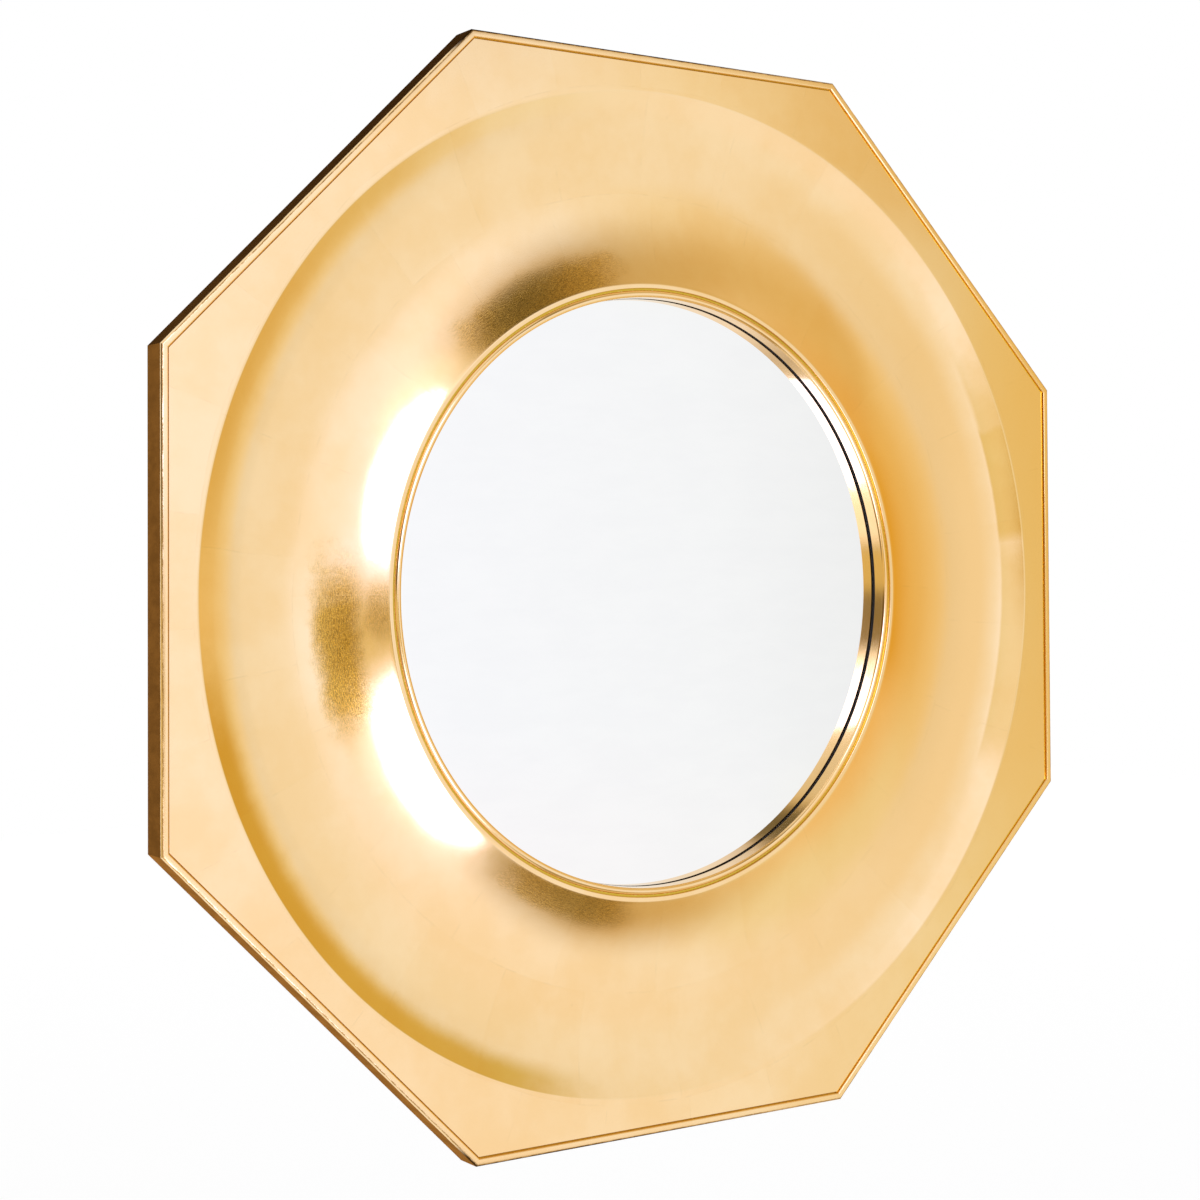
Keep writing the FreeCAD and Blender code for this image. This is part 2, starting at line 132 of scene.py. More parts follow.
def noise(coords, scale, detail=2.0, roughness=0.5, distortion=0.0):
    given = {"Vector": coords, "Scale": scale, "Detail": detail, "Roughness": roughness,
             "Distortion": distortion}
    return wired(coords.tree, "ShaderNodeTexNoise", given, "Fac")


def swing(coords, *settings):
    # the same noise about zero
    return noise(coords, *settings) - 0.5


def stretched(coords, scale, turn=0.0):
    given = {"Vector": coords, "Rotation": (0.0, 0.0, turn), "Scale": scale}
    return wired(coords.tree, "ShaderNodeMapping", given, "Vector")


def bumpOn(height, distance, below=None):
    given = {"Height": height, "Distance": distance, "Normal": below}
    return wired(height.tree, "ShaderNodeBump", given, "Normal")


def axes(vector):
    return [Wire(output) for output in addNode(vector.tree, "ShaderNodeSeparateXYZ", {0: vector}).outputs]


def joined(x=None, y=None, z=None):
    return wired(treeOf(x, y, z), "ShaderNodeCombineXYZ", {"X": x, "Y": y, "Z": z})


def cells(coords, scale):
    # distance from the middle of each cell, and a number that differs from cell to cell
    node = addNode(coords.tree, "ShaderNodeTexVoronoi", {"Vector": coords, "Scale": scale}, feature="F1")
    return Wire(node.outputs["Distance"]), wired(
        coords.tree, "ShaderNodeSeparateColor", {0: Wire(node.outputs["Color"])})


def attribute(tree, name):
    return wired(tree, "ShaderNodeAttribute", None, "Fac", attribute_name=name)


def startMaterial(name):
    material = bpy.data.materials.new(name)
    material.use_nodes = True
    return material, wired(material.node_tree, "ShaderNodeTexCoord", None, "Object")


socketNames = {
    "color": "Base Color", "rough": "Roughness", "metal": "Metallic", "normal": "Normal", "ior": "IOR",
    "specular": "Specular IOR Level", "glowColor": "Emission Color", "glow": "Emission Strength",
}


def paint(material, **looks):
    sockets = material.node_tree.nodes["Principled BSDF"].inputs
    for name, value in looks.items():
        feed(sockets[socketNames[name]], value)
    return material


def rgb(red, green, blue):
    return (red, green, blue, 1.0)


# gold leaf laid in sheets round the mirror, burnished, with hairlines that show where dark meets light;
# at some places dark reflections, and light glints in them, are painted into its colour
leafLook = {
    "pale": rgb(0.965, 0.72, 0.415),
    "deep": rgb(0.93, 0.64, 0.31),
    # painted reflection: deeper golds for the far side and for its outer flats
    "far": rgb(0.93, 0.61, 0.265),
    "paintedFarFlatReflection": rgb(0.87, 0.56, 0.19),
    # colour that the painted dark and dull reflections multiply the leaf by
    "paintedDarkReflection": rgb(0.75, 0.61, 0.17),
    "ground": rgb(0.34, 0.15, 0.04),
    "quirk": rgb(0.62, 0.4, 0.045),
    # painted reflection: the groove colour towards the right side
    "quirkPaintedReflection": rgb(0.88, 0.69, 0.11),
    # edges of the rim and the dish, and how ragged the edges of the painted dark and dull reflections are
    "rim": (0.2588, 0.2604), "dish": (0.4194, 0.4202), "darkReflectionRagged": 2.6, "dullReflectionRagged": 0.8,
    "innerRadius": 0.248, "sheetWidth": 0.088, "sheetsInner": 20, "sheetsMore": 6, "rowShift": 0.37,
    "strokes": ((0.1, 0.14), (1.5, 0.16), (0.75, 0.3)),  # turn and squash of each set
    "strokesPerMetre": 1150.0, "pinholesPerMetre": 95.0, "pinholeChance": 0.955,
    "seamWidth": 0.0009, "seamHeight": 0.000008, "hairHeight": 0.000026,
    "crinkleHeight": 0.00001, "burnishHeight": 0.00016,
}
# places with a painted dark reflection, with light glints painted in it, and places with only a painted
# dull reflection: middle, half width and softness of the ends round the mirror in degrees, inner and outer
# radius and their softness in metres, and the share of the painted darkening
darkReflectionPlaces = (
    (187.5, 11.0, 5.5, 0.285, 0.318, 0.009, 0.9),
    (182.0, 4.0, 2.5, 0.25, 0.277, 0.006, 0.36),
    (116.0, 15.0, 5.0, 0.25, 0.286, 0.009, 0.75),
    (249.0, 12.0, 4.0, 0.25, 0.28, 0.005, 0.62),
)
dullReflectionPlaces = (
    (222.0, 33.0, 8.0, 0.402, 0.44, 0.009, 0.92),
    (148.0, 26.0, 10.0, 0.404, 0.44, 0.012, 0.52),
    (-8.0, 14.0, 4.0, 0.3975, 0.44, 0.0016, 0.56),
    (14.0, 8.0, 1.6, 0.397, 0.44, 0.0016, 0.76),
    (20.5, 9.0, 7.5, 0.398, 0.44, 0.003, 0.6),
    (45.0, 22.0, 16.0, 0.345, 0.385, 0.016, 0.17),
)


def leafSheets(coords, x, z, radius):
    # a number for each sheet, and the distance to the nearest seam, from the place round the axis
    width = leafLook["sheetWidth"]
    angle = calc("ARCTAN2", z, x) / fullTurn
    wobble = swing(coords, 9.0, 3.0)
    across = wobble * 0.1 + (radius - leafLook["innerRadius"]) / width
    row = calc("FLOOR", across)
    count = row * leafLook["sheetsMore"] + leafLook["sheetsInner"]
    along = wobble * 0.12 + (row * leafLook["rowShift"] + angle * count)
    sheet = calc("FLOORED_MODULO", calc("FLOOR", along), count)
    label = wired(coords.tree, "ShaderNodeTexWhiteNoise", {"Vector": joined(sheet, row)}, "Value",
                  noise_dimensions="2D")
    seamAlong = calc("PINGPONG", along, 0.5) * (radius * fullTurn / count)
    return label, calc("MINIMUM", seamAlong, calc("PINGPONG", across, 0.5) * width)


def placeMask(coords, x, z, radius, places, ragged):
    wander = swing(coords, 38.0, 5.0, 0.7)
    masks = []
    for *degrees, inner, outer, edge, share in places:
        turn, half, soft = (radians(value) for value in degrees)
        out = x * cos(turn) + z * sin(turn)
        along = x * -sin(turn) + z * cos(turn)
        turned = wander * (ragged * soft) + calc("ABSOLUTE", calc("ARCTAN2", along, out))
        reach = wander * (ragged * edge) + radius
        masks.append(remap(reach, inner - edge, inner + edge) * fade(reach, outer - edge, outer + edge)
                     * fade(turned, half - soft, half + soft, share))
    # nothing past the rim or the edge of the dish
    return highest(*masks) * (remap(radius, *leafLook["rim"]) * fade(radius, *leafLook["dish"]))


def hairlines(x, z, radius):
    # fine strokes of the burnisher, along and across the turned face
    polar = joined(radius, calc("ARCTAN2", z * -1.0, x * -1.0) * 0.3)
    sets = [noise(stretched(polar, (1.0, squash, 1.0), turn), leafLook["strokesPerMetre"], 3.0, 0.65)
            for turn, squash in leafLook["strokes"]]
    return highest(*(remap(strokes, 0.4, 0.7) for strokes in sets))


def leafFinish(coords):
    look = leafLook
    x, y, z = axes(coords)
    radius = calc("SQRT", x * x + z * z)
    sheet, seam = leafSheets(coords, x, z, radius)
    broken = remap(noise(coords, 60.0, 4.0, 0.6), 0.46, 0.62)
    seamLine = fade(seam, 0.0, look["seamWidth"]) * broken
    cloud = remap(noise(coords, 14.0, 5.0, 0.6), 0.3, 0.7)
    color = blend(sheet * 0.3 + cloud * 0.7, look["deep"], look["pale"])
    # painted reflection: the far side is a deeper gold, but for the band round the dish, and its outer flats
    # deeper still, less so towards the bottom
    color = blend(remap(x, 0.0, 0.42) * fade(radius, 0.372, 0.396), color, look["far"])
    paintedFarFlatReflection = remap(x, 0.1, 0.44) * remap(radius, 0.4198, 0.4206) * remap(z, -0.3, 0.05, 0.62, 1.0)
    color = blend(paintedFarFlatReflection, color, look["paintedFarFlatReflection"])
    # painted dark and dull reflections at fixed places on the leaf
    strokes = hairlines(x, z, radius)
    paintedDarkReflection = placeMask(coords, x, z, radius, darkReflectionPlaces, look["darkReflectionRagged"])
    paintedDullReflection = placeMask(coords, x, z, radius, dullReflectionPlaces, look["dullReflectionRagged"])
    color = blend(highest(paintedDarkReflection, paintedDullReflection), color, blend(1.0, color, look["paintedDarkReflection"], "MULTIPLY"))
    # painted glints: inside the painted dark reflections, burnisher strokes are painted lighter and fine
    # specks lighter and darker
    speck = remap(noise(coords, 1800.0, 2.0, 0.6), 0.35, 0.68)
    paintedGlintGrain = (strokes * 0.8 + (speck * 0.7 + 0.2) - 1.0) * paintedDarkReflection + 1.0
    color = blend(1.0, color, joined(paintedGlintGrain, paintedGlintGrain, paintedGlintGrain), "MULTIPLY")
    # the ground shows in pinholes and along the seams
    hole, chance = cells(coords, look["pinholesPerMetre"])
    pinholes = fade(hole, 0.02, 0.045) * calc("GREATER_THAN", chance, look["pinholeChance"])
    color = blend(highest(seamLine * 0.06, pinholes * 0.45), color, look["ground"])
    # grooves a darker gold with ragged edges; towards the right side a painted reflection makes them lighter
    # and yellower
    quirk = swing(coords, 700.0, 3.0, 0.6) * 0.9 + attribute(coords.tree, "quirk")
    wiped = remap(quirk, 0.35, 0.75)
    color = blend(wiped, color, blend(remap(x, 0.1, 0.4), look["quirk"], look["quirkPaintedReflection"]))
    scuff = noise(stretched(coords, (1.0, 1.0, 0.35)), 420.0, 2.0, 0.6)
    rough = wiped * 0.06 + (scuff * 0.03 + (sheet * 0.025 + 0.072))
    burnish = bumpOn(noise(coords, 20.0, 2.0), look["burnishHeight"])
    crinkle = bumpOn(noise(coords, 520.0, 3.0, 0.62, 0.6), look["crinkleHeight"], burnish)
    scored = bumpOn(strokes * (paintedDarkReflection * 0.9 + 0.1), look["hairHeight"], crinkle)
    ridged = bumpOn(seamLine, look["seamHeight"], scored)
    return {"color": color, "rough": rough, "metal": 1.0, "normal": ridged}


def goldLeaf():
    material, coords = startMaterial("goldLeaf")
    return paint(material, **leafFinish(coords))


# the bead's gilding turns over the outer arris, where it is rubbed, and stops above the brown sides;
# the attribute holds the distance from the arris along the section, in mm
bandLook = {
    "brown": rgb(0.29, 0.12, 0.022),
    "brownDark": rgb(0.215, 0.088, 0.016),
    # painted shade of the upper sides
    "brownPaintedTopShade": rgb(0.075, 0.03, 0.008),
    "rubbed": rgb(0.36, 0.19, 0.035),
    # painted dark reflection on the arris at the top and foot: its colour, and on the next line where it ends
    # and how softly
    "paintedArrisDarkColor": rgb(0.055, 0.024, 0.004),
    "paintedArrisDarkEnd": 0.72, "paintedArrisDarkSoft": 0.3, "giltEnd": -1.25, "giltSoft": 0.25,
    "rubPlace": 0.85, "rubWidth": 0.6, "ior": 1.005,
}


def bandFinish():
    material, coords = startMaterial("giltBeadOverBrown")
    look, leaf = bandLook, leafFinish(coords)
    x, y, z = axes(coords)
    ragged, wander = swing(coords, 800.0, 3.0, 0.65), swing(coords, 70.0, 3.0, 0.6)
    place = ragged * 0.9 + (wander * 0.9 + attribute(coords.tree, "fromArris"))
    gilt = remap(place, look["giltEnd"] - look["giltSoft"], look["giltEnd"] + look["giltSoft"])
    offRub = calc("ABSOLUTE", place - look["rubPlace"])
    patches = remap(noise(coords, 130.0, 3.0, 0.6), 0.38, 0.56, 0.25, 0.9)
    worn = fade(offRub, look["rubWidth"] * 0.5, look["rubWidth"]) * patches
    streaks = noise(stretched(coords, (1.0, 0.5, 1.0)), 90.0, 4.0, 0.65)
    brown = blend(remap(streaks, 0.32, 0.7), look["brownDark"], look["brown"])
    # painted shade: the brown sides darker towards the top
    brown = blend(remap(z, 0.16, 0.42, 0.0, 0.55), brown, look["brownPaintedTopShade"])
    color = blend(worn, blend(gilt, brown, leaf["color"]), look["rubbed"])
    # painted dark reflection: at the top and the foot the arris is painted near black and not metal, from the
    # brown sides over it, less towards the right
    level = remap(calc("ABSOLUTE", z), 0.425, 0.442) * remap(x, -0.05, 0.19, 1.0, 0.45)
    paintedArrisDark = fade(place, look["paintedArrisDarkEnd"] - look["paintedArrisDarkSoft"], look["paintedArrisDarkEnd"] + look["paintedArrisDarkSoft"])
    paintedArrisDark = paintedArrisDark * (level * remap(place, -2.4, -1.2))
    metal = calc("SUBTRACT", worn * -0.35 + gilt, paintedArrisDark, clamp=True)
    return paint(
        material, color=blend(paintedArrisDark, color, look["paintedArrisDarkColor"]), metal=metal, normal=leaf["normal"],
        rough=remap(gilt, 0.0, 1.0, 0.55, 0.18), ior=look["ior"])


# silvered glass: a faint haze of wiping marks in the gloss, grey backing paint behind
silverDepth = 0.0003


def silveredGlass():
    material, coords = startMaterial("silveredGlass")
    wiped = noise(stretched(coords, (3.0, 1.0, 9.0)), 5.0, 4.0, 0.6)
    tint = blend(remap(wiped, 0.3, 0.7), rgb(0.93, 0.935, 0.94), rgb(0.945, 0.95, 0.952))
    behind = calc("GREATER_THAN", axes(coords)[1], glassY + silverDepth)
    return paint(
        material, color=blend(behind, tint, rgb(0.2, 0.21, 0.22)), metal=1.0 - behind,
        rough=behind * 0.45 + remap(wiped, 0.35, 0.75, 0.012, 0.03))


def foamTape():
    material, coords = startMaterial("blackFoamTape")
    pores = cells(coords, 1400.0)[0]
    color = blend(pores, rgb(0.006, 0.005, 0.004), rgb(0.03, 0.026, 0.022))
    return paint(material, color=color, rough=remap(pores, 0.0, 0.6, 0.65, 0.9), normal=bumpOn(pores, 0.0003))


# pressed hardboard: smooth brown fibre with the fine screen mark of its rough side
def hardboard():
    material, coords = startMaterial("hardboard")
    x, y, z = axes(coords)
    fibre = noise(coords, 240.0, 6.0, 0.7, 1.5)
    blotch = noise(coords, 9.0, 4.0, 0.6)
    color = blend(remap(fibre, 0.3, 0.7), rgb(0.085, 0.042, 0.02), rgb(0.185, 0.1, 0.05))
    color = blend(blotch * 0.35, color, rgb(0.07, 0.034, 0.017))
    screen = calc("SINE", x * 3600.0) * calc("SINE", z * 3600.0)
    return paint(
        material, color=color, rough=remap(fibre, 0.2, 0.8, 0.55, 0.8), specular=0.25,
        normal=bumpOn(screen * 0.35 + fibre, 0.00015))


# bare timber behind the gilding: grain runs along each board, read from the board's own UV
backLook = {
    "early": rgb(0.42, 0.265, 0.14),
    "late": rgb(0.255, 0.14, 0.062),
    "seam": rgb(0.05, 0.026, 0.012),
    "seamWidth": 0.0011,
    "ringsPerMetre": 130.0,
}


def boardBack():
    material, coords = startMaterial("boardBack")
    look, tree = backLook, coords.tree
    board = wired(tree, "ShaderNodeUVMap", None, "UV", uv_map="board")
    waver = noise(stretched(board, (2.5, 9.0, 1.0)), 1.0, 3.0, 0.5)
    rings = calc("FRACT", waver * 7.0 + axes(board)[1] * look["ringsPerMetre"])
    late = remap(rings, 0.35, 1.0, kind="LINEAR")
    fibre = noise(stretched(board, (14.0, 900.0, 1.0)), 1.0, 3.0, 0.65)
    color = blend(late * 0.55 + remap(fibre, 0.3, 0.75) * 0.5, look["early"], look["late"])
    seam = fade(attribute(tree, "mitre"), 0.0, look["seamWidth"])
    return paint(
        material, color=blend(seam, color, look["seam"]), rough=remap(fibre, 0.2, 0.8, 0.5, 0.72),
        specular=0.3, normal=bumpOn(seam * -2.5 + fibre, 0.00016))


def zincSteel():
    material, coords = startMaterial("zincSteel")
    spangle = cells(coords, 650.0)[1]
    brushed = noise(stretched(coords, (1.0, 1.0, 0.08)), 1500.0, 2.0)
    return paint(
        material, color=blend(spangle, rgb(0.36, 0.36, 0.35), rgb(0.5, 0.49, 0.47)), metal=1.0,
        rough=remap(brushed, 0.25, 0.75, 0.26, 0.44), normal=bumpOn(brushed, 0.00002))


def beechBiscuit():
    material, coords = startMaterial("beechBiscuit")
    flecks = noise(stretched(coords, (1.0, 1.0, 0.2)), 700.0, 3.0)
    color = blend(remap(flecks, 0.3, 0.7), rgb(0.5, 0.33, 0.19), rgb(0.66, 0.47, 0.3))
    return paint(
        material, color=color, rough=remap(flecks, 0.2, 0.8, 0.5, 0.7), normal=bumpOn(flecks, 0.0001))


def bumperRubber():
    material, coords = startMaterial("bumperRubber")
    bloom = noise(coords, 160.0, 4.0, 0.6)
    color = blend(remap(bloom, 0.3, 0.75), rgb(0.012, 0.012, 0.012), rgb(0.045, 0.044, 0.042))
    return paint(
        material, color=color, rough=remap(bloom, 0.2, 0.8, 0.48, 0.7),
        normal=bumpOn(noise(coords, 1800.0, 2.0), 0.00004))


gold, goldBand = goldLeaf(), bandFinish()
silver, tape, fibreboard, timber = silveredGlass(), foamTape(), hardboard(), boardBack()
steel, beech, rubber = zincSteel(), beechBiscuit(), bumperRubber()
print("finishes made:", len(bpy.data.materials))


# mesh helpers
def octagonRadius(apothem, angle):
    folded = (angle + sideTurn / 2) % sideTurn - sideTurn / 2
    return apothem / cos(folded)


def spun(x, y, angle):
    return (x * cos(angle) - y * sin(angle), x * sin(angle) + y * cos(angle))


def roundTurns(steps):
    return [fullTurn * step / steps for step in range(steps)]


def quarterTurns(steps):
    return [pi / 2 * step / steps for step in range(steps + 1)]


def arcPoints(start, end, radius, count, hollow=True):
    # points from start to just before end, on an arc in the section plane of (radius, y);
    # a hollow arc has its centre in front of it, at lower y
    a, b = Vector(start), Vector(end)
    chord = b - a
    across = Vector((-chord.y, chord.x)).normalized()
    if (across.y > 0) == hollow:
        across = -across
    centre = (a + b) / 2 + across * sqrt(radius ** 2 - (chord.length / 2) ** 2)
    first, last = a - centre, b - centre
    turn = -first.angle_signed(last)
    return [tuple(centre + Vector(spun(first.x, first.y, turn * step / count))) for step in range(count)]


def levelCurve(run, rise):
    # radius of an arc that starts level and rises so much over that run
    return (run ** 2 + rise ** 2) / (2 * rise)


def linked(name, data):
    item = bpy.data.objects.new(name, data)
    scene.collection.objects.link(item)
    return item


def makePiece(name, work, *materials):
    bmesh.ops.recalc_face_normals(work, faces=work.faces)
    mesh = bpy.data.meshes.new(name)
    work.to_mesh(mesh)
    work.free()
    for material in materials:
        mesh.materials.append(material)
    return linked(name, mesh)


def handOver(piece, slot, *names, body="frame"):
    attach(piece, body)
    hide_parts(*names)


def joinRings(work, stations, closed=False, capStart=True, capEnd=True):
    # rings of points joined in turn, as a lathe or a sweep
    rings = [[work.verts.new(point) for point in ring] for ring in stations]
    pairs = list(zip(rings, rings[1:]))
    if closed:
        pairs.append((rings[-1], rings[0]))
    for near, far in pairs:
        for number in range(len(near)):
            after = (number + 1) % len(near)
            work.faces.new((near[number], near[after], far[after], far[number])).smooth = True
    if not closed:
        for ring, capped in ((rings[0], capStart), (rings[-1], capEnd)):
            if capped:
                work.faces.new(ring)
    return rings


def ringEdges(work, ring):
    return [work.edges.get(pair) for pair in zip(ring, ring[1:] + ring[:1])]


def setSharp(edges):
    for edge in edges:
        edge.smooth = False


def latheRings(rows, steps):
    # each row has a radius, or a function that gives the radius at an angle, and its y
    turns, rings = roundTurns(steps), []
    for radius, y, *rest in rows:
        reach = [radius(turn) if callable(radius) else radius for turn in turns]
        rings.append([(out * cos(turn), y, out * sin(turn)) for out, turn in zip(reach, turns)])
    return rings


def turnedSkin(work, rows, closed=True, steps=stepsRound):
    # rows are (radius, y, sharp)
    grid = joinRings(work, latheRings(rows, steps), closed)
    for ring, (radius, y, sharp) in zip(grid, rows):
        if sharp:
            setSharp(ringEdges(work, ring))
    return grid


def discPiece(name, finish, size, frontY, rearY, crisp):
    # a flat disc with eased edges
    rings, radius, ease = size["rings"], size["radius"], size["ease"]
    rows = [(ring, frontY, False) for ring in rings]
    rows += [(radius - ease, frontY, crisp), (radius, frontY + ease, True)]
    rows += [(radius, rearY - ease, True), (radius - ease, rearY, crisp)]
    rows += [(ring, rearY, False) for ring in reversed(rings)]
    work = bmesh.new()
    turnedSkin(work, rows, False, stepsRound // 2)
    return makePiece(name, work, finish)


def sharpenEdges(work, limit):
    setSharp(edge for edge in work.edges if len(edge.link_faces) == 2 and edge.calc_face_angle() > limit)


# gilded frame: eight mitred boards under one skin of leaf
frameSize = {
    "boardOut": edgeOut - 0.006, "faceY": beadY + 0.003, "flatFall": 0.0007,
    "grooveWidth": 0.0011, "grooveDepth": 0.0006, "grooveTones": (0.85, 0.8, 0.55, 0.3),
    "grooveCurve": ((0.0, 1.0), (0.72, 0.97), (0.9, 0.8), (0.98, 0.15)),  # shares of width and depth
    "dishRadius": 0.42, "dishArris": 0.0006, "bandCurve": 0.5, "bandSteps": 24,
    "creaseRadius": 0.393, "creaseY": backY - 0.0126, "creaseSoft": 0.012, "creaseSteps": 14,
    "floorRadius": 0.3321, "floorY": backY - 0.006, "troughSteps": 34, "flankSteps": 30,
    "rimRadius": 0.25685, "rimY": -0.0259, "rimLand": 0.0018, "rimRound": 0.0008,
    "boreRadius": 0.25535, "glassRecess": 0.2648, "arris": 0.0004,
    "grainShift": (1.7, 0.31),  # from board to board, along and across
}


def between(inner, outer, share):
    return lambda angle: inner + (octagonRadius(outer, angle) - inner) * share


def softenCrease(band, trough, crease, reach, steps):
    # the sharp meeting of the two arcs is eased into one curve
    kept = [point for point in band if point[0] > crease[0] + reach]
    after = [point for point in trough if point[0] < crease[0] - reach]
    a, b = kept[-1], after[0]
    shares = [step / steps for step in range(1, steps)]
    eased = [tuple((1 - t) ** 2 * p + 2 * t * (1 - t) * c + t ** 2 * q for p, c, q in zip(a, crease, b))
             for t in shares]
    return kept + eased + after


def frameRows(size):
    # gilded rows from the groove beside the bead inwards to the bore, then bare timber round to the back
    face, boardOut, dish, ease = size["faceY"], size["boardOut"], size["dishRadius"], size["dishArris"]
    rimY, bore, arris, recess = size["rimY"], size["boreRadius"], size["arris"], size["glassRecess"]
    groove, fall = size["grooveWidth"], size["flatFall"]
    floor = (size["floorRadius"], size["floorY"])
    crease = (size["creaseRadius"], size["creaseY"])
    landOut = size["rimRadius"] + size["rimLand"]
    lip = (landOut + size["rimRound"], rimY + size["rimRound"] * 0.2)
    outer = arcPoints((dish, face), crease, size["bandCurve"], size["bandSteps"])
    outer[0] = (dish, face + ease * 0.12)
    outer.insert(1, (dish - ease, face + (outer[1][1] - face) * 0.53))
    troughCurve = levelCurve(crease[0] - floor[0], floor[1] - crease[1])
    trough = arcPoints(crease, floor, troughCurve, size["troughSteps"])
    outer = softenCrease(outer, trough, crease, size["creaseSoft"], size["creaseSteps"])
    inner = arcPoints(floor, lip, levelCurve(floor[0] - lip[0], floor[1] - lip[1]), size["flankSteps"])
    high, drop = face - fall, fall + size["grooveDepth"]
    rows = [(between(0.0, boardOut - groove * along, 1.0), high + drop * deep, deep == 1.0)
            for along, deep in size["grooveCurve"]]
    rows += [(between(dish + ease, boardOut - groove, share), face - fall * share, share == 1.0)
             for share in (1.0, 0.75, 0.5, 0.25, 0.03, 0.0)]
    rim = [lip, (landOut, rimY), (landOut - arris, rimY), (bore + 2 * arris, rimY),
           (bore + arris, rimY + arris * 0.1), (bore, rimY + arris)]
    rows += [(radius, y, False) for radius, y in outer + inner + rim]
    rows.append((bore, rimY + 4 * arris, True))
    giltRows = len(rows)
    rows += [(bore, shoulderY, True), (recess, shoulderY, True), (recess, backY, True)]
    rows += [(between(recess, boardOut, share), backY, False) for share in (0.25, 0.5, 0.75)]
    rows.append((between(0.0, boardOut, 1.0), backY, True))
    return rows, giltRows


def buildFrame():
    rows, giltRows = frameRows(frameSize)
    work = bmesh.new()
    mitre = work.verts.layers.float.new("mitre")
    quirk = work.verts.layers.float.new("quirk")
    boardUv = work.loops.layers.uv.new("board")
    grid = turnedSkin(work, rows)
    gilded = {vert for ring in grid[:giltRows] for vert in ring}
    shiftAlong, shiftOut = frameSize["grainShift"]
    for face in work.faces:
        face.material_index = 0 if all(vert in gilded for vert in face.verts) else 1
        middle = face.calc_center_median()
        side = round(atan2(middle.z, middle.x) / sideTurn) % len(sideNames)
        out = Vector((cos(sideTurns[side]), 0.0, sin(sideTurns[side])))
        along = Vector((-out.z, 0.0, out.x))
        for loop in face.loops:
            place = loop.vert.co
            loop[boardUv].uv = (place.dot(along) + shiftAlong * side, place.dot(out) + shiftOut * side)
    for vert in work.verts:
        offMitre = atan2(vert.co.z, vert.co.x) % sideTurn - sideTurn / 2
        vert[mitre] = abs(sin(offMitre)) * hypot(vert.co.x, vert.co.z)
    for ring, tone in zip(grid, frameSize["grooveTones"]):
        for vert in ring:
            vert[quirk] = tone
    piece = makePiece("gilded_frame", work, gold, timber)
    handOver(piece, "gilded_wood", *["frame_segment_" + side for side in sideNames])


# places for repeated pieces: one vertex each, with its turn about the mirror's axis
def spreadTree():
    tree = bpy.data.node_groups.new("spreadOnPlaces", "GeometryNodeTree")
    kinds = {"Places": "Geometry", "Piece": "Object", "Loose turn": "Float", "Seed": "Int",
             "Finish": "Material"}
    for name, kind in kinds.items():
        tree.interface.new_socket(name, in_out="INPUT", socket_type="NodeSocket" + kind)
    tree.interface.new_socket("Pieces", in_out="OUTPUT", socket_type="NodeSocketGeometry")
    source = addNode(tree, "NodeGroupInput")
    places, model, loose, seed, finish = (Wire(source.outputs[name]) for name in kinds)
    shape = wired(tree, "GeometryNodeObjectInfo", {"Object": model}, "Geometry", transform_space="ORIGINAL")
    turn = wired(tree, "GeometryNodeInputNamedAttribute", {"Name": "turn"}, "Attribute", data_type="FLOAT")
    limits = {2: loose * -1.0, 3: loose, "Seed": seed}
    spin = turn + wired(tree, "FunctionNodeRandomValue", limits, 1, data_type="FLOAT")
    given = {"Points": places, "Instance": shape, "Rotation": joined(y=spin)}
    pieces = wired(tree, "GeometryNodeInstanceOnPoints", given, "Instances")
    pieces = wired(tree, "GeometryNodeRealizeInstances", {"Geometry": pieces}, "Geometry")
    pieces = wired(tree, "GeometryNodeSetMaterial", {"Geometry": pieces, "Material": finish}, "Geometry")
    addNode(tree, "NodeGroupOutput", {"Pieces": pieces})
    return tree


spread = spreadTree()


def spreadPieces(name, model, points, finish, turns=None, looseTurn=0.0, seed=7):
    # turns are about the mirror's axis; the model object is used up
    mesh = bpy.data.meshes.new(name + "Places")
    mesh.from_pydata(points, [], [])
    turn = mesh.attributes.new("turn", "FLOAT", "POINT")
    turn.data.foreach_set("value", turns or [0.0] * len(points))
    host = linked(name + "Host", mesh)
    modifier = host.modifiers.new("spread", "NODES")
    modifier.node_group = spread
    given = {"Piece": model, "Loose turn": looseTurn, "Seed": seed, "Finish": finish}
    for item in spread.interface.items_tree:
        if item.name in given and item.in_out == "INPUT":
            modifier[item.identifier] = given[item.name]
    bpy.context.view_layer.update()
    evaluated = host.evaluated_get(bpy.context.evaluated_depsgraph_get())
    made = bpy.data.meshes.new_from_object(evaluated)
    host.modifiers.remove(modifier)
    bpy.data.objects.remove(host)
    bpy.data.objects.remove(model)
    made.name = name
    return linked(name, made)


# edge bands: one mitred lipping with a rounded bead, repeated round the octagon
bandSize = {
    "thickness": 0.006, "outerRound": 0.002, "innerRound": 0.0012, "rearArris": 0.0003,
    "lengthSteps": 24, "roundSteps": 8,
    "quirkTones": (0.15, 0.6, 0.85),  # of the last points of the section
    "furthest": -4.0,  # mm from the arris
}


def bandSection(size):
    # (distance from the axis, y) round the section, starting at the back inside, and the number of the
    # point half way round the outer arris
    inner, outer, rear, steps = edgeOut - size["thickness"], edgeOut, size["rearArris"], size["roundSteps"]
    section = [(inner, backY), (outer - rear, backY), (outer, backY - rear)]
    reach = size["outerRound"]
    top = beadY + reach
    section += [(outer, backY + (top - backY) * share) for share in (0.35, 0.7, 0.85, 0.95)]
    middle = len(section) + steps // 2
    quarter = quarterTurns(steps)
    section += [(outer - reach + reach * cos(turn), top - reach * sin(turn)) for turn in quarter]
    reach = size["innerRound"]
    top = beadY + reach
    section += [(inner + reach - reach * sin(turn), top - reach * cos(turn)) for turn in quarter]
    section += [(inner, frameSize["faceY"]), (inner, frameSize["faceY"] + frameSize["grooveDepth"])]
    return section, middle


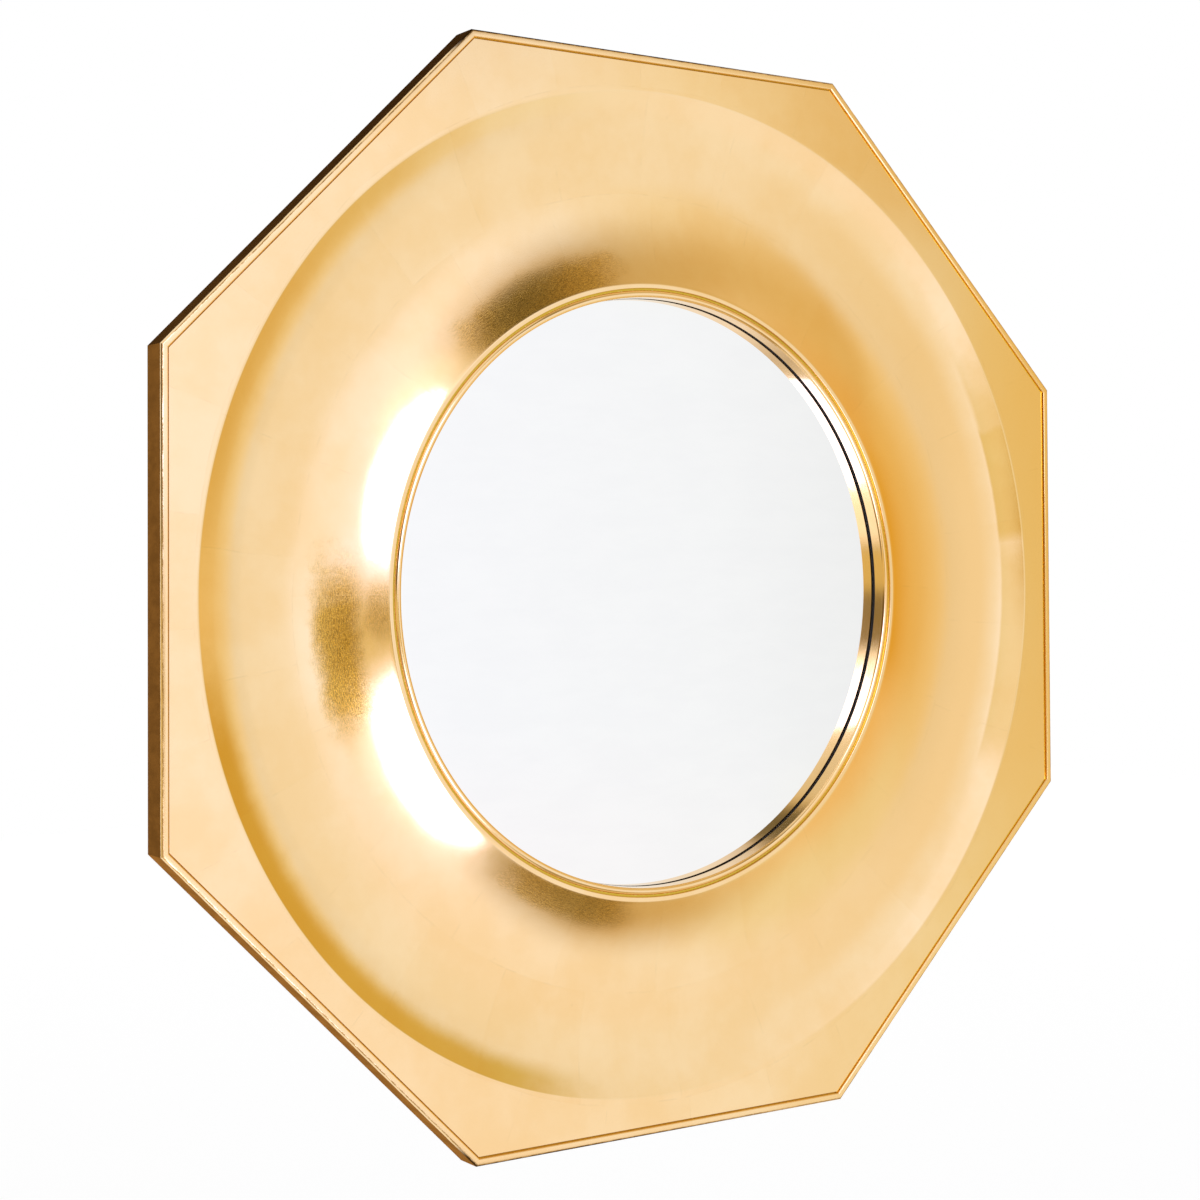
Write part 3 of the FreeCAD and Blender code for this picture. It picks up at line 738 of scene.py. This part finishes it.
def buildBands():
    section, middle = bandSection(bandSize)
    reach = [0.0]
    for near, far in zip(section, section[1:]):
        reach.append(reach[-1] + dist(near, far) * 1000.0)
    tones = (0.0,) * (len(section) - len(bandSize["quirkTones"])) + bandSize["quirkTones"]
    work = bmesh.new()
    arris = work.verts.layers.float.new("fromArris")
    quirk = work.verts.layers.float.new("quirk")
    steps, slope = bandSize["lengthSteps"], tan(sideTurn / 2)
    shares = [2 * step / steps - 1 for step in range(steps + 1)]
    columns = joinRings(work, [[(out, y, out * slope * share) for out, y in section] for share in shares])
    for column in columns:
        for vert, along, tone in zip(column, reach, tones):
            vert[arris] = max(bandSize["furthest"], along - reach[middle])
            vert[quirk] = tone
    for end in (columns[0], columns[-1]):
        setSharp(ringEdges(work, end))
    for left, right in zip(columns, columns[1:]):
        setSharp(work.edges.get((left[number], right[number])) for number in (0, 1, 2, -1))
    model = makePiece("bandModel", work, goldBand)
    middles = [(0.0, 0.0, 0.0)] * len(sideTurns)
    piece = spreadPieces("edge_bands", model, middles, goldBand, [-turn for turn in sideTurns])
    handOver(piece, "edge_band", *["edge_band_" + side for side in sideNames])


# sight ring: a small turned bead with a fine quirk outside it
sightSize = {
    "sightRadius": 0.2478, "width": 0.0075, "quirkWidth": 0.0018, "quirkY": -0.0243,
    "toneStart": 0.0006, "toneWidth": 0.0009, "beadRise": 0.002, "beadSteps": 14,
}


def buildSightRing():
    size = sightSize
    inner, outer, low = size["sightRadius"], size["sightRadius"] + size["width"], size["quirkY"]
    quirkIn = outer - size["quirkWidth"]
    curve = levelCurve((quirkIn - inner) / 2, size["beadRise"])
    bead = arcPoints((quirkIn, low), (inner, low), curve, size["beadSteps"], hollow=False)
    rows = [(outer, shoulderY, True), (outer, low, True)]
    rows += [(radius, y, number == 0) for number, (radius, y) in enumerate(bead)]
    rows += [(inner, low, True), (inner, (low + shoulderY) / 2, False), (inner, shoulderY, True)]
    work = bmesh.new()
    quirk = work.verts.layers.float.new("quirk")
    for ring, (radius, y, sharp) in zip(turnedSkin(work, rows), rows):
        for vert in ring:
            vert[quirk] = max(0.0, min(1.0, (radius - quirkIn + size["toneStart"]) / size["toneWidth"]))
    handOver(makePiece("sight_bead_ring", work, gold), "gilded_wood", "sight_ring")


# mirror glass with a ground arris, and the foam tape in front of its edge
glassSize = {"radius": 0.2628, "ease": 0.0005, "rings": (0.0002, 0.08, 0.16, 0.22)}
tapeSize = {"inner": 0.2488, "outer": 0.2608, "round": 0.0006}


def buildGlass():
    piece = discPiece("mirror_pane", silver, glassSize, glassY, glassBackY, True)
    handOver(piece, "mirror", "mirror_glass")


def buildTape():
    inner, outer, ease = tapeSize["inner"], tapeSize["outer"], tapeSize["round"]
    rows = [
        (inner + ease, shoulderY, False), (inner, shoulderY + ease, False),
        (inner, glassY - ease, False), (inner + ease, glassY, False),
        (outer, glassY, True), (outer, shoulderY, True),
    ]
    work = bmesh.new()
    turnedSkin(work, rows)
    handOver(makePiece("foam_tape", work, tape), "black_tape", "glass_tape")


buildFrame()
buildBands()
buildSightRing()
buildGlass()
buildTape()
print("front pieces made")


# hardboard back, held by the screws round its edge
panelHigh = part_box("back_panel")[1]
panelSize = {"radius": panelHigh.x, "ease": 0.0004, "rings": (0.0002, 0.1, 0.2)}


def buildPanel():
    piece = discPiece("backing_disc", fibreboard, panelSize, backY, panelHigh.y, False)
    handOver(piece, "hardboard", "back_panel")


# sizes of the hangers and the moulded rubber bumpers, which have a well for the screw head
hangerSides = ((-1, "left"), (1, "right"))
hanger = {"out": 0.422, "pivotY": backY + 0.0031, "pivotZ": 0.150396, "drops": (0.025, 0.037)}
strapSize = {
    "half": 0.008, "thick": 0.0012, "bevel": 0.0002, "foot": 0.1074, "corner": 0.003, "cornerSteps": 8,
    "curl": 0.0022, "curlEnd": -118.0, "curlSteps": 30, "lead": 0.0003, "leadSteps": 8,
    "crisp": 0.6,
}
ringSize = {"wire": 0.0015, "bar": 0.0085, "corner": 0.003, "leg": 0.005, "round": 20}
bumperSize = {
    "base": 0.0095, "face": 0.008, "well": 0.004, "wellFloorY": backY + 0.004, "pilot": 0.00155,
    "foot": ((0.0002, 0.0), (0.0, 0.0003), (0.0002, 0.0014), (0.0005, 0.0018)),  # inset and rise
    "draft": 0.0001, "ease": 0.0006, "edge": (0.5, 1.05, 1.57), "round": 64, "crisp": 0.9,
}
bumperSpots = [(sideX * 0.130396, 0.0, sideZ * 0.422) for sideX in (-1, 1) for sideZ in (-1, 1)]

# pan head screws: threaded shank to -Y, head with a cross recess to +Y
screwSize = {
    "tip": 0.00015, "point": 0.004, "shank": 0.0015, "root": 0.0012, "pitch": 0.0012, "plain": 0.002,
    "neck": 0.0003, "head": 0.003, "edge": 0.0001, "skirt": 0.0007, "crown": 0.0024, "height": 0.002,
    "arm": 0.0017, "waist": 0.00045, "deep": 0.0011, "crownSteps": 6, "round": 48, "crisp": 0.7,
}


def screwModel(length):
    size = screwSize
    shank, pitch, head, edge = size["shank"], size["pitch"], size["head"], size["edge"]
    crown, skirt, height = size["crown"], size["skirt"], size["height"]
    rows = [(size["tip"], -length)]
    for turn in range(1, int((length - size["plain"]) / pitch) + 1):
        y = -length + turn * pitch
        grow = min(1.0, (y + length) / size["point"])
        rows += [(size["root"] * grow, y - pitch * 0.5), (shank * grow, y)]
    rows += [(shank, -size["neck"]), (shank, 0.0), (head - edge, 0.0), (head, edge)]
    rows += [(crown + (head - crown) * cos(bend), skirt + (height - skirt) * sin(bend))
             for bend in quarterTurns(size["crownSteps"])]
    work = bmesh.new()
    rings = joinRings(work, latheRings(rows, size["round"]), capEnd=False)
    arm, waist = size["arm"], size["waist"]
    corner = ((arm, waist), (waist, waist), (waist, arm))
    cross = [spun(x, z, quarter * pi / 2) for quarter in range(4) for x, z in corner]
    levels = ((1.0, height), (0.94, height - edge), (0.78, height - size["deep"]))
    pit = joinRings(work, [[(x * k, y, z * k) for x, z in cross] for k, y in levels], capStart=False)
    bmesh.ops.bridge_loops(work, edges=ringEdges(work, rings[-1]) + ringEdges(work, pit[0]))
    sharpenEdges(work, size["crisp"])
    return makePiece("screwModel", work, steel)


def buildAllScrews():
    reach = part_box("back_panel_screws")[1].x - screwSize["head"]
    panelSpots = [(reach * cos(turn), panelHigh.y, reach * sin(turn)) for turn in sideTurns]
    hangerSpots = [(side * hanger["out"], backY + strapSize["thick"], hanger["pivotZ"] - drop)
                   for side, name in hangerSides for drop in hanger["drops"]]
    bumperSeats = [(x, bumperSize["wellFloorY"], z) for x, y, z in bumperSpots]
    for name, node, length, places, seed in (
            ("panel_screw_set", "back_panel_screws", 0.009, panelSpots, 3),
            ("hanger_screw_set", "hanger_screws", 0.015, hangerSpots, 5),
            ("bumper_screw_set", "bumper_screws", 0.018, bumperSeats, 11)):
        piece = spreadPieces(name, screwModel(length), places, steel, looseTurn=pi, seed=seed)
        handOver(piece, "steel", node)


# strap hangers: a plate with rounded lower corners whose upper end curls round the ring's bar
def strapStations(side):
    size = strapSize
    pivotY, pivotZ, corner = hanger["pivotY"], hanger["pivotZ"], size["corner"]
    half, ease = size["thick"] / 2, size["bevel"]
    plateY, start = backY + half, size["foot"] + corner
    # y, z, outward direction and half width along the middle of the plate
    spine = []
    for turn in quarterTurns(size["cornerSteps"]):
        along = corner * (1 - cos(turn))
        pull = corner - sqrt(max(0.0, corner ** 2 - (corner - along) ** 2))
        spine.append((plateY, size["foot"] + along, (-1.0, 0.0), size["half"] - pull))
    for share in (0.3, 0.6, 0.9, 1.0):
        spine.append((plateY, start + (pivotZ - start) * share, (-1.0, 0.0), size["half"]))
    for step in range(1, size["curlSteps"] + 1):
        turn = radians(180.0 + (size["curlEnd"] - 180.0) * step / size["curlSteps"])
        reach = size["curl"] + size["lead"] * max(0.0, 1 - step / size["leadSteps"])
        out = (cos(turn), sin(turn))
        spine.append((pivotY + reach * out[0], pivotZ + reach * out[1], out, size["half"]))
    stations = []
    for y, z, (outY, outZ), wide in spine:
        front = [(wide, half - ease), (wide - ease, half), (ease - wide, half), (-wide, half - ease)]
        section = front + [(-x, -t) for x, t in front]
        stations.append([(side * hanger["out"] + x, y + t * outY, z + t * outZ) for x, t in section])
    return stations


def buildStraps():
    for side, name in hangerSides:
        work = bmesh.new()
        joinRings(work, strapStations(side))
        sharpenEdges(work, strapSize["crisp"])
        piece = makePiece("strap_hanger_" + name, work, steel)
        handOver(piece, "steel", "hanger_strap_" + name)


# D shaped rings of bent wire
def ringPath(size):
    # places and outward directions round the loop, in x and z from the middle of its bar
    bar, corner = size["bar"], size["corner"]
    path = [(bar * share, 0.0, 90.0) for share in (-0.5, 0.0, 0.5)]
    for x, z, reach, degrees in (
            (bar, -corner, corner, range(90, -1, -15)),
            (0.0, -(corner + size["leg"]), bar + corner, range(0, -181, -6)),
            (-bar, -corner, corner, range(180, 89, -15))):
        path += [(x + reach * cos(radians(d)), z + reach * sin(radians(d)), d)
                 for d in degrees]
    return path


def buildRings():
    wire = ringSize["wire"]
    turns = roundTurns(ringSize["round"])
    for side, name in hangerSides:
        stations = []
        for x, z, degree in ringPath(ringSize):
            outX, outZ = cos(radians(degree)), sin(radians(degree))
            stations.append([(side * hanger["out"] + x + wire * cos(turn) * outX,
                              hanger["pivotY"] + wire * sin(turn),
                              hanger["pivotZ"] + z + wire * cos(turn) * outZ) for turn in turns])
        work = bmesh.new()
        joinRings(work, stations, closed=True)
        piece = makePiece("bent_ring_" + name, work, steel)
        handOver(piece, "steel", "hanger_ring_" + name, body="ring_" + name)


def buildBumpers():
    size = bumperSize
    face, ease, well, floor = size["face"], size["ease"], size["well"], size["wellFloorY"]
    rows = [(size["pilot"], backY)]
    rows += [(size["base"] - inset, backY + rise) for inset, rise in size["foot"]]
    rows.append((face + size["draft"], -ease))
    rows += [(face - ease + ease * cos(turn), -ease + ease * sin(turn)) for turn in size["edge"]]
    rows += [(well + ease * 0.7, 0.0), (well + ease * 0.2, -ease * 0.3), (well, -ease), (well, floor)]
    rows.append((size["pilot"], floor))
    work = bmesh.new()
    joinRings(work, latheRings(rows, size["round"]), closed=True)
    sharpenEdges(work, size["crisp"])
    model = makePiece("bumperModel", work, rubber)
    piece = spreadPieces("bumper_set", model, bumperSpots, rubber, looseTurn=pi, seed=17)
    corners = ("upper_right", "upper_left", "lower_left", "lower_right")
    handOver(piece, "rubber", *["wall_bumper_" + place for place in corners])


def finishNode(name, material):
    slots = nodes[name].material_slots
    if not slots:
        nodes[name].data.materials.append(material)
    for slot in slots:
        slot.material = material


buildPanel()
buildAllScrews()
buildStraps()
buildRings()
buildBumpers()
finishNode("mitre_biscuits", beech)
print("hardware made")


# camera at the photo's place
cameraSetup = {
    "place": (-1.07166, -1.52451, 0.02949),
    "towards": (0.558784, 0.829031, 0.021643),
    "roll": -0.302, "lens": 65.635, "sensor": 36.0, "shiftUp": -0.0755, "nearest": 0.05,
}


def placeCamera():
    data = bpy.data.cameras.new("photoCamera")
    data.lens = cameraSetup["lens"]
    data.sensor_width = cameraSetup["sensor"]
    data.shift_y = cameraSetup["shiftUp"]
    data.clip_start = cameraSetup["nearest"]
    camera = linked("photoCamera", data)
    aim = Vector(cameraSetup["towards"]).to_track_quat("-Z", "Y")
    camera.rotation_mode = "QUATERNION"
    camera.rotation_quaternion = aim @ Quaternion((0.0, 0.0, 1.0), radians(cameraSetup["roll"]))
    camera.location = cameraSetup["place"]
    scene.camera = camera


# studio: two softboxes and a back light, a half shell of boards in front of the mirror, a pale floor and
# white surroundings
studio = {
    "shellRadius": 2.5, "shellStep": 6,
    # elevations between which the boards change
    "over": (11.0, 17.0), "under": (-14.0, -6.0), "top": (18.0, 38.0), "foot": (-40.0, -25.0),
    "softRadiance": 2.3, "softColor": (0.92, 0.97, 1.9), "softDistance": 2.4,
    "softboxes": (  # azimuth, elevation, width and height
        ("softboxUpper", -15.0, 17.0, 1.42, 1.12),
        ("softboxLower", -10.0, -26.0, 1.38, 1.14),
    ),
    "floorDrop": 2.1, "floorSize": 30.0, "floorGlow": 0.94,
    "horizon": (-0.08, 0.02), "fillBelow": 1.42, "fillAbove": 0.02,
    "backLight": {"place": (0.3, 1.7, 0.4), "width": 0.9, "height": 0.9, "radiance": 5.0},
}


def studioPoint(azimuth, elevation, distance):
    turn, rise = radians(azimuth), radians(elevation)
    level = cos(rise)
    return Vector((sin(turn) * level, -cos(turn) * level, sin(rise))) * distance


def hangLamp(name, place, width, height, radiance, color=(1.0, 1.0, 1.0), inGloss=True):
    # an area light that faces the middle of the mirror
    data = bpy.data.lights.new(name, "AREA")
    data.shape = "RECTANGLE"
    data.size, data.size_y = width, height
    data.energy = radiance * pi * width * height
    data.color = color
    lamp = linked(name, data)
    lamp.location = place
    lamp.rotation_mode = "QUATERNION"
    lamp.rotation_quaternion = (-lamp.location).to_track_quat("-Z", "Y")
    lamp.visible_camera = False
    lamp.visible_glossy = inGloss


def hangLamps():
    for name, azimuth, elevation, width, height in studio["softboxes"]:
        place = studioPoint(azimuth, elevation, studio["softDistance"])
        hangLamp(name, place, width, height, studio["softRadiance"], studio["softColor"])
    # a soft light straight behind, which the outer sides turn away from
    hangLamp("backLight", **studio["backLight"], inGloss=False)


# boards level with the mirror, those over and under it, and those at the top and foot of the shell:
# azimuth in degrees, 0 straight in front of the mirror, then red, green and blue
boardsLevel = (
    (-60.0, 0.13, 0.09, 0.04), (-34.0, 0.32, 0.25, 0.11), (-28.0, 1.4, 1.45, 2.1),
    (2.0, 1.23, 1.26, 1.72), (12.0, 1.12, 1.15, 1.37), (19.0, 1.07, 1.11, 1.29),
    (23.5, 1.0, 1.0, 1.02), (38.0, 0.97, 0.97, 0.97), (45.5, 0.91, 0.91, 0.9),
    (49.0, 0.93, 0.86, 0.68), (52.5, 0.92, 0.81, 0.54), (56.0, 0.91, 0.77, 0.46),
    (61.0, 0.88, 0.7, 0.34), (67.0, 0.87, 0.66, 0.27), (71.0, 0.85, 0.6, 0.2),
    (78.0, 0.8, 0.5, 0.07),
)
boardsOver = (
    (-60.0, 0.3, 0.22, 0.1), (-28.0, 1.5, 1.5, 1.6), (2.0, 1.5, 1.5, 1.7),
    (10.0, 1.22, 1.22, 1.46), (20.0, 1.13, 1.16, 1.38), (28.0, 1.03, 1.06, 1.18),
    (36.0, 0.95, 0.9, 0.76), (44.0, 0.84, 0.7, 0.42), (52.0, 0.8, 0.63, 0.31),
    (58.0, 0.81, 0.64, 0.31), (68.0, 0.84, 0.6, 0.24), (78.0, 0.86, 0.58, 0.18),
)
boardsUnder = (
    (-60.0, 0.3, 0.22, 0.1), (-28.0, 1.5, 1.5, 1.6), (6.0, 1.35, 1.35, 1.6),
    (14.0, 1.08, 1.08, 1.22), (26.0, 1.02, 0.99, 1.0), (40.0, 0.98, 0.97, 0.96),
    (48.0, 0.93, 0.92, 0.78), (56.0, 0.91, 0.88, 0.68), (66.0, 0.92, 0.77, 0.48),
    (78.0, 0.93, 0.68, 0.3),
)
boardsEnds = (
    (-40.0, 1.0, 1.0, 1.0), (4.0, 0.8, 0.74, 0.58), (13.0, 0.42, 0.32, 0.14),
    (28.0, 0.5, 0.38, 0.18), (38.0, 0.66, 0.51, 0.26), (48.0, 0.7, 0.54, 0.26),
    (60.0, 0.84, 0.68, 0.4),
)
# dark openings between the boards: middle and reach in degrees of azimuth and elevation, the colour,
# and the tint round some of them
darkSpots = (
    (16.0, 35.5, 11.0, 6.0, rgb(0.19, 0.16, 0.085), rgb(0.92, 0.82, 0.6)),
    (28.5, -40.3, 8.5, 5.3, rgb(0.34, 0.27, 0.13), rgb(0.96, 0.88, 0.7)),
    (3.0, -4.5, 7.0, 4.0, rgb(0.5, 0.38, 0.14), None),
    (-11.0, -4.0, 4.5, 3.0, rgb(0.55, 0.43, 0.18), None),
)
softGap = {"low": -14.0, "high": 3.0, "edge": 6.0, "from": 9.5, "to": 13.5, "color": rgb(0.8, 0.64, 0.27)}


def boardRamp(share, boards):
    # share is 0 at an azimuth of -90 degrees and 1 at 90
    node = addNode(share.tree, "ShaderNodeValToRGB", {0: share})
    elements = node.color_ramp.elements
    while len(elements) < len(boards):
        elements.new(0.5)
    for element, (azimuth, *color) in zip(elements, boards):
        element.position = (azimuth + 90.0) / 180.0
        element.color = rgb(*color)
    return Wire(node.outputs["Color"])


def boardColor(place):
    x, y, z = axes(place)
    degree = 180.0 / pi
    azimuth = calc("ARCTAN2", x, y * -1.0) * degree
    share = calc("ADD", azimuth / 180.0, 0.5, clamp=True)
    rise = calc("ARCSINE", z / studio["shellRadius"]) * degree
    color = boardRamp(share, boardsLevel)
    color = blend(remap(rise, *studio["over"]), color, boardRamp(share, boardsOver))
    color = blend(fade(rise, *studio["under"]), color, boardRamp(share, boardsUnder))
    ends = boardRamp(share, boardsEnds)
    color = blend(remap(rise, *studio["top"]), color, ends)
    color = blend(fade(rise, *studio["foot"]), color, ends)
    low, high, edge = softGap["low"], softGap["high"], softGap["edge"]
    gap = remap(rise, low, low + edge) * fade(rise, high - edge, high)
    color = blend(gap * fade(azimuth, softGap["from"], softGap["to"]), color, softGap["color"])
    for middle, level, wide, tall, dark, tint in darkSpots:
        across, up = (azimuth - middle) / wide, (rise - level) / tall
        off = calc("SQRT", across * across + up * up)
        if tint:
            color = blend(fade(off, 0.8, 1.75), color, tint, "MULTIPLY")
        color = blend(fade(off, 0.45, 1.35), color, dark)
    return color


def hideFrom(piece, *rays):
    for ray in rays:
        setattr(piece, "visible_" + ray, False)


def buildShell():
    work = bmesh.new()
    azimuths, elevations = range(-96, 97, studio["shellStep"]), range(-84, 85, studio["shellStep"])
    grid = [[work.verts.new(studioPoint(a, e, studio["shellRadius"])) for a in azimuths] for e in elevations]
    for low, high in zip(grid, grid[1:]):
        for step in range(len(azimuths) - 1):
            work.faces.new((low[step], low[step + 1], high[step + 1], high[step]))
    material, coords = startMaterial("studioBoards")
    tree = material.node_tree
    tree.nodes.remove(tree.nodes["Principled BSDF"])
    glow = wired(tree, "ShaderNodeEmission", {"Color": boardColor(coords)})
    feed(tree.nodes["Material Output"].inputs["Surface"], glow)
    shell = makePiece("studio_shell", work, material)
    hideFrom(shell, "camera", "diffuse", "shadow")


def whiteToCamera(tree):
    # 1 for rays that should meet plain white: from the camera, a gloss or a clear piece
    path = addNode(tree, "ShaderNodeLightPath")
    rays = ("Camera", "Glossy", "Transmission")
    return highest(*(Wire(path.outputs["Is " + ray + " Ray"]) for ray in rays))


def buildFloor():
    half = studio["floorSize"] / 2
    work = bmesh.new()
    corners = ((-half, -half), (half, -half), (half, half), (-half, half))
    work.faces.new([work.verts.new((x, y, -studio["floorDrop"])) for x, y in corners])
    material, coords = startMaterial("paleFloor")
    paint(material, color=rgb(0.3, 0.3, 0.3), rough=0.9, glowColor=rgb(1.0, 1.0, 1.0),
          glow=whiteToCamera(material.node_tree) * studio["floorGlow"])
    floor = makePiece("pale_floor", work, material)
    hideFrom(floor, "glossy", "diffuse", "shadow")


def buildWorld():
    # white to the camera and to gloss; the fill on matt surfaces comes from below
    world = bpy.data.worlds.new("studioWorld")
    world.use_nodes = True
    tree = world.node_tree
    background = tree.nodes["Background"]
    background.inputs["Color"].default_value = rgb(1.0, 1.0, 1.0)
    level = axes(wired(tree, "ShaderNodeTexCoord", None, "Generated"))[2]
    fill = remap(level, *studio["horizon"], studio["fillBelow"], studio["fillAbove"])
    feed(background.inputs["Strength"], remap(whiteToCamera(tree), 0.0, 1.0, fill, 1.0, "LINEAR"))
    scene.world = world


placeCamera()
hangLamps()
buildShell()
buildFloor()
buildWorld()
scene.view_settings.view_transform = "Standard"
print("camera and studio placed")

bpy.context.view_layer.update()
